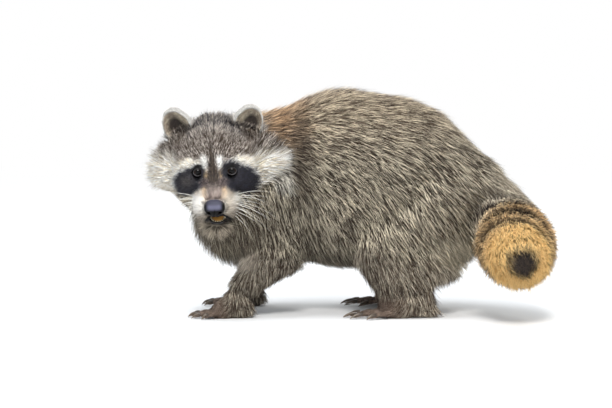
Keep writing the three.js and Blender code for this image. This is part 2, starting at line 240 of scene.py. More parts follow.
def along_tail(points):
    """How far along the tail's line each point lies, the nearest place on it, and its direction."""
    low, high = np.zeros(len(TAIL_STEPS)), TAIL_STEPS.copy()
    low[0], high[-1] = -np.inf, np.inf  # the line runs on past both ends
    reach = ((points[:, None] - TAIL_LINE[:-1]) * TAIL_WAYS).sum(axis=2)
    reach = np.clip(reach, low, high)
    places = TAIL_LINE[:-1] + reach[:, :, None] * TAIL_WAYS
    best = np.linalg.norm(points[:, None] - places, axis=2).argmin(axis=1)
    mine = np.arange(len(points)), best
    return TAIL_STARTS[best] + reach[mine], places[mine], TAIL_WAYS[best]


# ---- Skin: the solids of flesh as one surface, set in from them by the coat's depth ----
def region_of(node):
    return node.removesuffix("_left").removesuffix("_right")


FLESH = sorted(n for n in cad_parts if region_of(n) in REGIONS)


def cad_surface():
    """The flesh solids as one list of points and triangles, with each triangle's region."""
    points, triangles, regions, start = [], [], [], 0
    for node in FLESH:
        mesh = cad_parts[node].data
        mesh.calc_loop_triangles()
        points.append(read(mesh.vertices, "co", 3) / MM)
        triangles.append(read(mesh.loop_triangles, "vertices", 3, np.int32) + start)
        regions += [NAMES.index(region_of(node))] * len(triangles[-1])
        start += len(points[-1])
    return np.concatenate(points), np.concatenate(triangles), np.array(regions)


HALF_WAY = 0.5
KEEP_SIZE = (0.55, -0.57)  # shares that smooth a form and leave its size


class Surface:
    """A mesh as arrays, with smoothing along its edges."""

    def __init__(self, mesh):
        self.mesh = mesh
        self.points = read(mesh.vertices, "co", 3).astype(float) / MM
        self.a, self.b = read(mesh.edges, "vertices", 2, np.int32).T
        count = len(self.points)
        self.degree = np.bincount(self.a, minlength=count) + np.bincount(self.b, minlength=count)

    def neighbours_mean(self, values):
        total = np.empty_like(values)
        for k in range(values.shape[1]):
            total[:, k] = np.bincount(self.a, values[self.b, k], len(values))
            total[:, k] += np.bincount(self.b, values[self.a, k], len(values))
        return total / self.degree[:, None]

    def smoothed(self, values, passes):
        for _ in range(passes):
            values = values + HALF_WAY * (self.neighbours_mean(values) - values)
        return values

    def evened(self, passes, weight, shares=(HALF_WAY,)):
        """Draws the points to their neighbours' mean by each share in turn; below 0 swells them back."""
        for share in passes * shares:
            move = self.neighbours_mean(self.points) - self.points
            self.points += share * weight[:, None] * move

    def store(self):
        self.mesh.vertices.foreach_set("co", (self.points * MM).astype(np.float32).ravel())
        self.mesh.update()

    def normals(self):
        self.store()
        return read(self.mesh.vertices, "normal", 3).astype(float)


cad_points, cad_triangles, cad_regions = cad_surface()
cad_tree = BVHTree.FromPolygons(cad_points.tolist(), cad_triangles.tolist())


def region_weights(surface, passes):
    """For each point, its share in every region, softened across their borders."""
    nearest = np.array([cad_tree.find_nearest(p)[2] for p in surface.points.tolist()])
    weights = np.eye(len(NAMES))[cad_regions[nearest]]
    return surface.smoothed(weights, passes)


EAR_FOOT = np.array([-34, 42, 27])  # where the cup of each ear opens, on the head


def off_ear_foot(places):
    forward, left, up = places.T
    return norms(np.stack([forward, np.abs(left), up], axis=1) - EAR_FOOT)


def head_coat(points):
    """Over the head alone: depth, length, width, density and lift of the coat at each point."""
    places = on_head(points)
    forward, left, up = places.T
    side = np.abs(left)
    height = face_height(places)
    lowest = np.where(left > 0, 34, 5)  # the ruff hangs lower on the left
    cheek = ease(side, 34, 60) * ease(-forward, -4, 18) * fall(-height, lowest, lowest + 14)
    back = ease(-forward, 28, 52)
    crown = ease(up, 28, 42) * fall(side, 26, 42)
    reach = np.where(left > 0, 18, 12)
    lip = bump(side, 0, 10) * ease(-up, 33, 39) * ease(forward, 28, 40)
    face = np.array(
        [
            2.8 + 7.7 * cheek + 4.9 * back + 2 * lip,
            5 + (reach + 1.5) * cheek + 7.5 * back + 6.5 * crown,
            0.52 + 0.3 * cheek + 0.3 * back,
            2.4 + 2.5 * (1 - 0.7 * cheek) * (1 - 0.7 * back),
            31 + 7 * cheek - 3 * back + 14 * crown,
        ]
    )
    muzzle = ease(forward, 2, 22) * ease(-up, -6, 6)
    by_eye = bump(side, 24, 11) * bump(height, -3, 11) * ease(forward, -18, -6)
    short = np.maximum(muzzle, by_eye)
    velvet = np.array([1.3, 3.2, 0.42, 6.5, 15])[:, None]
    coat = face * (1 - short) + velvet * short
    coat[1] -= 1.2 * muzzle * ease(-up, 18, 30)
    jowl = (left < 0) * ease(-height, 16, 28) * ease(side, 20, 28)
    coat[0] += 3.5 * jowl
    coat[1] *= 1 - 0.7 * jowl
    coat[1] *= 1 - 0.65 * bump(off_ear_foot(places), 0, 17)
    coat[1] *= 1 - 0.5 * fall(off_nose(places), 1, 1.7)
    return coat


# The floor under each wrist or hock, the paw's heading, its length and its width.
PAWS = {
    "fore_paw_left": ((-151.1, -22.7), 0.05, 55, 38),
    "fore_paw_right": ((-137.1, 112.3), -0.05, 55, 38),
    "hind_paw_left": ((86.9, -17.7), 0.10, 86, 40),
    "hind_paw_right": ((84.9, 116.3), -0.10, 86, 40),
}


def ankle_hair(points):
    """1 where the long hair of the leg hangs over the back of a paw, and 0 over its toes."""
    hair = np.zeros(len(points))
    for (x, y), heading, length, _ in PAWS.values():
        off = points[:, :2] - (x, y)
        ahead = -off[:, 0] * math.cos(heading) - off[:, 1] * math.sin(heading)
        near = norms(off) < 1.5 * length
        bare = ease(ahead + 0.35 * (30 - points[:, 2]), -0.05 * length, 0.6 * length)
        hair[near] = np.maximum(hair, 1 - bare)[near]
    return hair


def chest_bib(points):
    """1 at the front of the chest, where the hair is long and hangs free."""
    x, _, z = points.T
    return ease(-x, 105, 140) * ease(z, 62, 90) * fall(z, 150, 185)


def coat_values(points, weights):
    """Depth, length, width, density and lift of the coat at each point."""
    values = COAT @ weights.T
    usual = dict(zip(NAMES, COAT.T[:, :, None]))
    values += share_in(weights, "head") * (head_coat(points) - usual["head"])
    values += chest_bib(points) * np.array([0, 15, 0.2, -0.1, 10])[:, None]
    hair = ankle_hair(points)
    for paw, leg in (("fore_paw", "forearm"), ("hind_paw", "shank")):
        values += share_in(weights, paw) * hair * (usual[leg] - usual[paw])
    return values


EAR_CENTRE = np.array([-46.5, 46.5, 39])  # on the head, for the left ear
EAR_WIDTH = 20.5
EAR_LEAN, EAR_TURN = 0.34, 0.25


def on_ear(points):
    """Forward, outward and up in the nearer ear's own frame."""
    places = on_head(points)
    places[:, 1] = np.abs(places[:, 1])
    forward, out, up = (places - EAR_CENTRE).T
    turned = np.cos(EAR_TURN) * forward + np.sin(EAR_TURN) * out
    out = -np.sin(EAR_TURN) * forward + np.cos(EAR_TURN) * out
    leant = np.cos(EAR_LEAN) * out - np.sin(EAR_LEAN) * up
    return turned, leant, np.sin(EAR_LEAN) * out + np.cos(EAR_LEAN) * up


EAR_SPREAD = 1.22  # gives back what the thinning of the wall takes from the outline
EAR_SHIFT = {"left": (0, -5, -2.2), "right": (0, 2.7, -2.8)}
EAR_TURNS = 24


def spread_ears(points, weight):
    places = on_head(points)
    for side, sign in SIDES.items():
        mine = weight * (places[:, 1] * sign > 0)
        middle = EAR_CENTRE * (1, sign, 1)
        places += mine[:, None] * ((EAR_SPREAD - 1) * (places - middle) * (0.3, 1, 1) + EAR_SHIFT[side])
    return from_head(places)


def ear_turns(out, up):
    """The turn round an ear's middle, counted in EAR_TURNS."""
    return (np.arctan2(up, out) / (2 * math.pi) + 0.5) * EAR_TURNS


def measured_rims(points, weight):
    """For each ear, how far its edge lies from its middle at each turn."""
    rims = {}
    for side, sign in SIDES.items():
        mine = (weight > 0.5) & (on_head(points)[:, 1] * sign > 0)
        _, out, up = on_ear(points[mine])
        rims[side] = np.full(EAR_TURNS, 0.75 * EAR_WIDTH)
        turn = np.floor(ear_turns(out, up)).astype(int) % EAR_TURNS
        np.maximum.at(rims[side], turn, np.hypot(out, up))
    return rims


def share_of_rim(points):
    """0 in the middle of the nearer ear and 1 at its edge."""
    _, out, up = on_ear(points)
    share = np.hypot(out, up)
    for side, sign in SIDES.items():
        mine = on_head(points)[:, 1] * sign > 0
        turn = ear_turns(out, up)[mine] - 0.5
        share[mine] /= np.interp(turn, np.arange(EAR_TURNS), ear_rims[side], period=EAR_TURNS)
    return share


GAZE = {"left": unit(np.array([1.0, 0.10, 0.42])), "right": unit(np.array([1.0, 0.16, 0.42]))}
LID_HALF_WIDTH, LID_HALF_HEIGHT = 0.66, 0.53  # radians of the eyeball that show
SOCKET = 26  # how far from an eyeball's middle the skin is drawn to it


def eye_frame(side):
    """The gaze, towards the temple and up, in the head's frame."""
    gaze = GAZE[side]
    above = unit(np.array([0, 0, 1.0]) - gaze * gaze[2])
    out = np.cross(above, gaze) * SIDES[side]
    return np.array([gaze, out if out[1] * SIDES[side] > 0 else -out, above])


def lid_opening(turn):
    """The opening's reach from the gaze, in radians, at each turn from the temple round by the brow."""
    c, s = np.cos(turn), np.sin(turn)
    reach = 1 / np.sqrt((c / LID_HALF_WIDTH) ** 2 + (s / LID_HALF_HEIGHT) ** 2)
    return reach + 0.10 * np.maximum(c, 0) ** 10 + 0.16 * np.maximum(-c, 0) ** 10


def round_eye(places, side):
    """From an eyeball's middle: offsets, distances, leans from the gaze, and the lids' opening there."""
    offset = places - eye_places[side]
    local = offset @ eye_frame(side).T
    lean = np.arctan2(np.hypot(local[:, 1], local[:, 2]), local[:, 0])
    opening = lid_opening(np.arctan2(local[:, 2], local[:, 1]))
    return offset, norms(offset), lean, opening


def wrap_eyes(points):
    """Draws the skin round each eyeball, and under it within the lids."""
    places = on_head(points)
    for side in SIDES:
        near = norms(places - eye_places[side]) < SOCKET
        offset, radius, lean, opening = round_eye(places[near], side)
        snug = fall(lean, 0.85, 1.6) * fall(radius, EYE + 6, EYE + 15)
        target = EYE + 0.4 - 2.2 * fall(lean, opening - 0.05, opening + 0.22)
        reach = radius + snug * (target - radius)
        places[near] = eye_places[side] + offset / radius[:, None] * reach[:, None]
    return from_head(places)


SHARE_PASSES = 24, 10  # that soften the regions' borders, on the first mesh and on the last
EVEN_ALL, EVEN_BODY = 12, 30  # passes that smooth a form and keep its size
FLOW_BODY, FLOW_BROAD = 50, 130  # passes that join limb, neck and trunk in one line
DEPTH_PASSES, LAST_PASSES = 12, 3
SOLE = 0.8  # the solids' height up to which the skin lies on the floor
THINNING = (0.02, 0.35, 0.7, 1.0)  # steps of how freely the skin's triangles are joined


def make_skin():
    joined = bpy.data.meshes.new("joined")
    joined.from_pydata((cad_points * MM).tolist(), [], cad_triangles.tolist())
    welded = bmesh.new()
    welded.from_mesh(joined)
    bmesh.ops.remove_doubles(welded, verts=welded.verts, dist=1e-6)
    welded.to_mesh(joined)
    welded.free()
    skin = placed("skin", joined)
    remesh = skin.modifiers.new("remesh", "REMESH")
    remesh.mode = "VOXEL"
    remesh.voxel_size = VOXEL * MM
    settle(skin)

    surface = Surface(skin.data)
    weights = region_weights(surface, SHARE_PASSES[0])
    fine = share_in(weights, "fore_paw", "hind_paw", "ear", "jaw")
    head = share_in(weights, "head")
    broad = share_in(weights, "trunk", "neck", "thigh", "tail_root")
    surface.evened(EVEN_ALL, np.ones(len(head)), KEEP_SIZE)
    surface.evened(EVEN_BODY, np.clip(1 - fine, 0, 1), KEEP_SIZE)
    surface.evened(FLOW_BODY, np.clip(1 - fine - head, 0, 1))
    surface.evened(FLOW_BROAD, ease(broad, 0.3, 1))
    depth = surface.smoothed(coat_values(surface.points, weights)[0][:, None], DEPTH_PASSES)
    floor = surface.points[:, 2].copy()
    surface.points -= surface.normals() * depth
    surface.points = surface.smoothed(surface.points, LAST_PASSES)
    surface.points = wrap_eyes(surface.points)
    surface.points = spread_ears(surface.points, share_in(weights, "ear"))
    surface.points[floor < SOLE, 2] = 0
    surface.points[:, 2] = np.maximum(surface.points[:, 2], 0)
    surface.store()

    plain = skin.vertex_groups.new(name="plain")
    share = np.clip(1 + THINNING[0] - fine - head, THINNING[0], 1)
    for level in THINNING:
        chosen = np.flatnonzero(np.abs(share - level) <= 0.17)
        plain.add(chosen.tolist(), level, "REPLACE")
    fewer = skin.modifiers.new("fewer", "DECIMATE")
    fewer.ratio = SKIN_TRIANGLES / (2 * len(skin.data.polygons))
    fewer.vertex_group = plain.name
    fewer.use_collapse_triangulate = True
    settle(skin)
    skin.vertex_groups.clear()
    return skin


def settle(made):
    """Turns an object's modifiers into its mesh."""
    graph = bpy.context.evaluated_depsgraph_get()
    mesh = bpy.data.meshes.new_from_object(made.evaluated_get(graph))
    made.modifiers.clear()
    old = made.data
    made.data = mesh
    bpy.data.meshes.remove(old)


skin = make_skin()
skin_surface = Surface(skin.data)
skin_weights = region_weights(skin_surface, SHARE_PASSES[1])
ear_rims = measured_rims(skin_surface.points, share_in(skin_weights, "ear"))
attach(skin, "root")
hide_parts(*FLESH)


# ---- Which way the coat lies ----
def towards(x, y, z, axes=np.eye(3)):
    """Unit directions from their parts along the model's axes, or along the head's."""
    return unit(np.stack(np.broadcast_arrays(x, y, z), axis=1) @ axes)


def head_flow(points):
    forward, left, up = on_head(points).T
    side, s = np.abs(left), np.sign(left)
    height = face_height(on_head(points))
    middle = fall(side, 6, 26)
    brow = ease(height, 0, 22)
    cheek = ease(side, 22, 50) * (1 - brow)
    muzzle = ease(forward, 6, 26)
    outward = s * (0.25 + 0.75 * cheek + 0.25 * brow * (1 - middle))
    rise = 0.75 * brow - 0.18 * cheek - 0.35 * ease(-height, 20, 50) * (1 - muzzle)
    back = -1 + 0.35 * brow + 0.15 * cheek
    outward = outward * (1 - 0.5 * muzzle) * (1 - 0.6 * ease(-height, 12, 34) * (1 - muzzle))
    chin = ease(-up, 50, 57) * ease(forward, 0, 20)
    rise = rise - 0.9 * chin
    back = back + 0.7 * chin
    return towards(back, outward, rise, HEAD_AXES)


def ear_flow(points):
    return towards(0.05, 0.30 * np.sign(on_head(points)[:, 1]), 0.95, HEAD_AXES)


def body_flow(points):
    """Back along the trunk, and more downwards the lower on the flank and the nearer the rump."""
    x, y, z = points.T
    height = ease(z, 60, 270)
    rear = ease(x, 60, 190)
    back = 0.42 + 0.58 * height - 0.12 * rear
    down = 1.05 - 0.70 * height + 0.25 * rear
    return towards(back, 0.06 * np.sign(y - 50), -down)


def neck_flow(points):
    """Away from the head, and hanging on the chest."""
    low = fall(points[:, 2], 120, 210)
    return towards(0.85 - 0.6 * low, 0.25 * (1 - low), -0.35 - 0.75 * low)


def upper_leg_flow(points):
    """Down, and backwards too on the haunch."""
    return towards(0.25 + 0.5 * ease(points[:, 0], 0, 60), 0, -1)


def forearm_flow(points):
    return towards(np.full(len(points), -0.15), 0, -1)


def shank_flow(points):
    """Down to the hock and well back."""
    return towards(np.full(len(points), 0.5), 0, -1)


def tail_flow(points):
    return along_tail(points)[2]


def paw_flow(points):
    """Down over the back of the paw, and along it to the toes."""
    hair = ankle_hair(points)[:, None]
    return unit(hair * np.array([0.1, 0, -1]) + (1 - hair) * np.array([-1, 0, -0.35]))


def by_region(*kinds):
    """A dictionary from rows of a function and the regions that it serves."""
    return {region: kind for kind, *regions in kinds for region in regions}


FLOWS = by_region(
    (body_flow, "trunk"),
    (neck_flow, "neck"),
    (upper_leg_flow, "upper_arm", "thigh"),
    (forearm_flow, "forearm"),
    (shank_flow, "shank"),
    (paw_flow, "fore_paw", "hind_paw"),
    (tail_flow, "tail_root", "tail_middle", "tail_tip"),
    (head_flow, "head", "jaw"),
    (ear_flow, "ear"),
)
TRACE = 0.003  # a share in a region that is too small to count


def mixed(kinds, points, weights, *more):
    """What each region's function gives at its points, by their share in the region."""
    total = np.zeros((len(points), 3))
    for k, name in enumerate(NAMES):
        there = weights[:, k] > TRACE
        given = kinds[name](points[there], *(values[there] for values in more))
        total[there] += weights[there, k : k + 1] * given
    return total


# ---- Markings: one set for the skin and the coat ----
CREAM = linear((0.97, 0.92, 0.81))
WHITE = linear((0.99, 0.985, 0.97))
GREY = linear((0.80, 0.755, 0.69))
BROWN = linear((0.53, 0.45, 0.375))
DARK = linear((0.235, 0.20, 0.185))
BLACK = linear((0.165, 0.155, 0.16))
# slate-blue for painted sky sheen on dark hair: the mask, the crown and the back's ridge
SHEEN_SLATE = linear((0.22, 0.22, 0.26))
OCHRE = linear((1.0, 0.80, 0.50))
RUST = linear((0.88, 0.65, 0.42))
MAUVE = linear((0.70, 0.62, 0.60))


def near_segment(x, y, start, end, start_radius, end_radius):
    """Signed distance in the face's plane to a rounded bar: below 0 inside."""
    start, end = np.array(start, float), np.array(end, float)
    way = end - start
    share = np.clip(((x - start[0]) * way[0] + (y - start[1]) * way[1]) / (way @ way), 0, 1)
    radius = start_radius + (end_radius - start_radius) * share
    return np.hypot(x - start[0] - share * way[0], y - start[1] - share * way[1]) - radius


MASK_BARS = (  # of the dark patch round and below each eye, as start, end and the radius at each
    ((22, 0), (38, -11), 11, 15.5),
    ((26, -18), (40, -19), 9.5, 11),
    ((15.5, -3), (22, 4), 3, 5),
)


def head_pattern(points, tone):
    """Colours of the head. tone is each place's own shade, from 0 to 1."""
    places = on_head(points)
    forward, left, up = places.T
    height = face_height(places) + 2 + 1.8 * wander(points, 7, 51)
    middle = 1.2 * fall(-height, 5, 30) + 0.08 * np.maximum(height, 0)
    across = np.abs(left + middle) + 1.6 * (tone - 0.5)
    side = np.where(left > 0, 0.92 * left + 1.8, -left - 1.2)
    mask_height = np.where((left > 0) & (height > 0), 0.75 * height, height)
    edge = np.min([near_segment(side, mask_height, *bar) for bar in MASK_BARS], axis=0)
    edge = edge - 1.2 * (left > 0) + 5 * (tone - 0.5) + 20 * fall(forward, -62, -50)
    dark = 0.6 * blend(DARK, BROWN, 0.25)

    cheek = ease(side, 44, 58) * fall(height, 14, 34)
    top = 13.5 + 4 * ease(side, 22, 36)
    brow = ease(side, 13, 20) * ease(-edge, -16, -9) * fall(height, top, top + 7)
    white_hair = blend(CREAM, WHITE, ease(tone, 0.3, 0.6))
    pale = blend(blend(GREY, BROWN, 0.5), white_hair, ease(tone, 0.02, 0.3))
    below = ease(-height, 14, 26) * ease(side, 25, 34)

    stripe = bump(across, 10.4, 2.7 + 0.8 * ease(height, 4, 14))
    stripe = stripe * ease(height, -11, -3) * fall(height, 17, 26)
    stripe_colour = blend(0.55 * blend(OCHRE, GREY, 0.6), WHITE, ease(height, -1, 9))
    between = fall(side, 17, 25) * fall(height, -11, -4) * fall(-height, 14, 32)
    width = 2.6 + 4.2 * fall(height, -8, 22)
    centre = fall(across, width - 1, width + 2) * fall(height, 30, 48) * ease(height, -24, -8)

    soft = across + 3 * (tone - 0.5)
    start = 17 + 5 * ease(across, 14, 22)
    muzzle = ease(-height, start, start + 9) * ease(soft, 7, 12.5) * fall(side + 4 * (tone - 0.5), 22, 28)
    tawny = np.maximum(bump(across, 11.5, 5) * fall(-height, 20, 42), fall(-height, start + 2, start + 11))
    white = blend(WHITE, GREY, 0.27 + 0.63 * ease(left, 8, 20) + 0.1 * ease(tone, 0.75, 1))
    white = blend(white, 0.75 * blend(GREY, BROWN, 0.5 * tone), ease(-height, 46, 57))
    bridge = fall(soft, 7, 12.5) * ease(-height + 6 * (tone - 0.5), 12, 28)
    bridge_colour = blend(blend(DARK, MAUVE, 0.45 + 0.4 * ease(-height, 16, 36)), GREY, 0.45 * tone)

    mask_sheen = blend(SHEEN_SLATE, GREY, 0.18 * (left < 0) * bump(side, 36, 9) * bump(height, -10, 8))
    by_lid = bump(np.abs(left) - 21, 0, 9) * bump(height, 6.5, 4)
    crown = ease(up, 26, 44) * ease(-forward, 10, 40)
    return over(
        dark,
        (linear((0.84, 0.80, 0.76)), ease(tone, 0.66, 0.94)),
        (pale, np.maximum(cheek, brow)),
        (blend(dark, blend(GREY, CREAM, 0.7), ease(tone, 0.25, 0.75)), below),
        (stripe_colour, np.clip(1.5 * stripe, 0, 1) * ease(tone, 0, 0.25)),
        (blend(blend(DARK, BLACK, 0.5), MAUVE, 0.6 * ease(tone, 0.3, 1)), between),
        (blend(0.8 * BLACK, BROWN, 0.35 * tone), 0.95 * centre),
        (blend(white, blend(OCHRE, GREY, 0.3), 0.8 * tawny), muzzle),
        (bridge_colour, bridge),
        # painted shade where each ear's cup opens
        (blend(BLACK, BROWN, 0.5 * tone), 0.75 * bump(off_ear_foot(places), 0, 12)),
        (0.7 * blend(blend(GREY, BROWN, 0.5), CREAM, 0.6 * tone), ease(-height, 62, 66)),  # the chin
        (0.4 * BLACK, fall(off_mouth(places), 1.2, 1.45)),  # the lips
        (blend(mask_sheen, BLACK, ease(tone, 0.2, 0.9)), fall(edge, -2.5, 3)),  # the mask: black hair with painted bluish sheen
        (BLACK * 0.7, np.clip(1.3 * by_lid, 0, 1) * fall(edge, -1, 3)),
        # the crown, with painted bluish sheen on the top of the head
        (blend(SHEEN_SLATE, GREY, ease(tone, 0.5, 1)), 0.75 * crown),
    )


def ear_pattern(points, tone):
    """Pale at the rim, grey-cream within and dark low down in the cup, as painted shade; greyer behind."""
    forward, out, up = on_ear(points)
    rim = share_of_rim(points)
    # painted shade deep in the ear's cup
    hollow = bump(out, 2.5, 9.5) * bump(up, -3, 16) * fall(rim, 0.64, 0.84)
    return over(
        blend(GREY, BROWN, 0.6),
        (CREAM, ease(tone, 0.55 - 0.4 * ease(-out, -3, 8), 0.9)),
        (blend(0.7 * BLACK, BROWN, 0.25 * tone), np.clip(2.2 * hollow, 0, 1)),
        (blend(DARK, GREY, 0.5 * tone), 0.75 * ease(-forward, 5, 9)),
        (linear((0.80, 0.79, 0.77)), ease(rim, 0.80, 0.88) * ease(up, -20, -8)),
    )


RINGS = (  # middle, half-width and strength of each dark ring along the tail
    (38, 6, 0.35),
    (68, 6, 0.7),
    (99, 7, 1.0),
    (139, 7, 1.0),
    (168, 6, 0.9),
)
RING_SLANT = 0.42
TIP_SPOT = np.array([216, -152, 84])


def tail_pattern(points, tone):
    distance, nearest, _ = along_tail(points)
    wavy = distance - RING_SLANT * (points - nearest)[:, 0]
    wavy = wavy + 2.5 * wander(points, 40, 5) + 8 * (tone - 0.5)
    warm = blend(OCHRE, CREAM, 0.2)
    far = ease(distance, 70, 125)
    pale = blend(blend(blend(GREY, CREAM, 0.3), warm, far), CREAM, 0.1 + 0.25 * tone)
    # Paler and warmer towards the end: the tail's own buff, and painted light where its end is lit.
    end = 0.9 * ease(distance, 150, 190)
    pale = blend(pale, linear((1.0, 0.86, 0.60)), end)
    speckle = fall(tone, 0.2 - 0.05 * far, 0.6 - 0.15 * far) * (1 - end)
    colour = blend(pale, blend(DARK, BROWN, 0.45), 0.8 * speckle)
    for middle, half, strength in RINGS:
        colour = blend(colour, 0.75 * DARK, strength * fall(np.abs(wavy - middle), half - 3, half + 4))
    from_tip = norms(points - TIP_SPOT) + 12 * (tone - 0.5)
    return blend(colour, blend(BLACK, BROWN, 0.3 * tone), fall(from_tip, 15, 27))


def before_elbow(points):
    """1 in the pale hollow between the chest and each foreleg."""
    x, _, z = points.T
    return bump(x, -138, 13) * bump(z, 74, 13)


def body_pattern(points, tone):
    x, y, z = points.T
    light = ease(tone, 0.35, 0.75)
    back = ease(z, 190, 290)
    dark = 0.78 * blend(DARK, BROWN, 0.2 + 0.4 * back)
    pale = blend(blend(GREY, CREAM, 0.75), blend(CREAM, RUST, 0.2), 0.7 * back)
    nape = bump(x + 10 * wander(points, 35, 61), -92, 32) * ease(z, 195, 245)
    # Painted shadow: a dark band on the neck behind the cheek's ruff, where the ruff overlaps it.
    ruff_shadow = bump(x, -66, 15) * ease(z, 130, 170) * fall(z, 240, 265)
    chest = ease(-x, 95, 140) * fall(z, 170, 215)
    forward, left, _ = on_head(points).T
    height = face_height(on_head(points))
    ruff = ease(left, 72, 80) * fall(left, 97, 105) * ease(height, -40, -28)
    ruff = ruff * fall(height, 14, 28) * ease(forward, -95, -80)
    fringe = bump(x, 142, 26) * fall(z, 80, 120)
    colour = over(
        dark,
        (pale, light),
        (blend(blend(DARK, BROWN, 0.5), RUST, ease(tone, 0.3, 0.75)), 0.65 * nape),
        (blend(DARK, BROWN, 0.5 * tone), 0.65 * ruff_shadow),
        (blend(blend(DARK, BROWN, 0.7), CREAM, ease(tone, 0.35, 0.9)), 0.65 * chest),
        (blend(CREAM, WHITE, 0.5), ruff * ease(tone, 0.1, 0.4)),
        (CREAM, 0.6 * fringe),
        (SHEEN_SLATE, 0.5 * ease(z, 250, 300) * bump(y, 50, 40) * (1 - light)),  # painted bluish sheen along the back's ridge, where the sky lights it
    )
    # Painted shade darkens the shoulder and low front, the underside and the chest, below the head and the
    # body.
    front = ease(-x, 0, 70) * fall(z, 200, 250)
    under = fall(z, 65, 100) * fall(np.abs(x + 30), 50, 80)
    shade = 1 - 0.25 * front - 0.25 * under - 0.25 * chest
    return blend(colour * shade[:, None], GREY, 0.8 * before_elbow(points))


def leg_pattern(points, tone):
    """Ticked like the body, and paler on the hind legs: painted shade darkens the forelegs."""
    shade = 0.78 + 0.27 * ease(points[:, 0], 0, 60)
    ticked = blend(0.8 * blend(DARK, BROWN, 0.4), blend(GREY, CREAM, 0.4), 0.9 * ease(tone, 0.4, 0.85))
    return blend(shade[:, None] * ticked, GREY, 0.8 * before_elbow(points))


def paw_pattern(points, tone):
    """The leg's colours behind, and browner and barer towards the toes."""
    toes = blend(blend(DARK, BROWN, 0.5), linear((0.60, 0.52, 0.47)), ease(tone, 0.2, 0.8))
    bare = (1 - ankle_hair(points)) ** 2
    return blend(leg_pattern(points, tone), toes, bare)


PATTERNS = by_region(
    (head_pattern, "head", "jaw"),
    (ear_pattern, "ear"),
    (tail_pattern, "tail_root", "tail_middle", "tail_tip"),
    (body_pattern, "trunk", "neck", "upper_arm", "thigh"),
    (leg_pattern, "forearm", "shank"),
    (paw_pattern, "fore_paw", "hind_paw"),
)


# ---- Materials ----
def feed(tree, node, inputs):
    """Gives each input a value, or links another node's output to it."""
    for name, given in inputs.items():
        if isinstance(given, bpy.types.NodeSocket):
            tree.links.new(given, node.inputs[name])
        else:
            node.inputs[name].default_value = given


def add(tree, kind, inputs=None, **settings):
    """The outputs of a new shader node."""
    node = tree.nodes.new("ShaderNode" + kind)
    for name, value in settings.items():
        setattr(node, name, value)
    feed(tree, node, inputs or {})
    return node.outputs


def shader(name, roughness, specular, grain, relief, mottle=0.0, cells=False, stretch=(1, 1, 1)):
    """The painted tint, made uneven and given relief by a texture whose grain is in millimetres."""
    material = bpy.data.materials.new(name)
    material.use_nodes = True
    tree = material.node_tree
    tint = add(tree, "Attribute", attribute_name="tint")["Color"]
    place = add(tree, "TexCoord")["Object"]
    place = add(tree, "Mapping", {"Vector": place, "Scale": stretch})["Vector"]
    texture = add(tree, "TexVoronoi" if cells else "TexNoise", {"Vector": place, "Scale": 1 / (grain * MM)})
    value = texture["Distance" if cells else "Fac"]
    uneven = add(tree, "MapRange", {"Value": value, "To Min": 1 - mottle, "To Max": 1 + mottle})["Result"]
    colour = add(tree, "VectorMath", {0: tint, "Scale": uneven}, operation="SCALE")["Vector"]
    height = {"Strength": relief, "Distance": 0.4 * grain * MM, "Height": value}
    look = {"Roughness": roughness, "Specular IOR Level": specular, "Base Color": colour}
    look["Normal"] = add(tree, "Bump", height, invert=cells)["Normal"]
    feed(tree, tree.nodes["Principled BSDF"], look)
    return material


# ---- Coat ----
def unwrap(made):
    """A UV map of the skin's own shape."""
    made.data.uv_layers.new(name="OFBake")
    bpy.ops.object.select_all(action="DESELECT")
    bpy.context.view_layer.objects.active = made
    made.select_set(True)
    bpy.ops.object.mode_set(mode="EDIT")
    bpy.ops.mesh.select_all(action="SELECT")
    bpy.ops.uv.smart_project(angle_limit=math.radians(66), island_margin=0.002)
    bpy.ops.object.mode_set(mode="OBJECT")


BELLY_AT = 0.42  # of a tuft's length
BEND = 0.55  # of its lift, past the belly
CLEAR = 0.8  # of the floor
ROOT_MARGIN, TUFT_MARGIN = 0.13, 0.02  # radians round the lids' opening that they leave free
LIE_PASSES = 40  # that soften the borders between the regions' ways of lying
CLUMP_OF = 7  # tufts to a clump
CLUMP = 8  # how far a tip is drawn to its clump's
PULL = 0.32  # of the way
SWAY, STRAY = 0.15, 0.19  # how far tufts swing from the coat's lie together, and each alone
SWAY_WAVE, SWAY_SEEDS = 32, (21, 22, 23)
LIFTS, LENGTHS, WIDTHS = (0.65, 1.3), (0.7, 1.15), (0.6, 1.25)  # spread about a region's own
DROOP = 0.10
FLATNESS = 0.55  # a tuft's thickness beside its width
ROOTED = 0.8  # how deep a root stands in the skin
READ_AT = 0.6  # of a tuft's length, where its marking is read
CLUMP_TONE, OWN_TONE = 0.35, 0.65  # parts of a tuft's tone
TONE_SPREAD = 1.8
SPINDLE = (  # faces over a tuft's corners, and the corners' places on its patch
    np.array([[0, 2, 1], [0, 3, 2], [0, 1, 3], [4, 1, 2], [4, 2, 3], [4, 3, 1]]),
    np.array([[0.5, 0], [0, BELLY_AT], [0.5, BELLY_AT], [1, BELLY_AT], [0.5, 1]]),
)
THORN = (
    np.array([[0, 2, 1], [0, 1, 3], [1, 2, 3], [2, 0, 3]]),
    np.array([[0, 0], [0.5, 0], [1, 0], [0.5, 1]]),
)


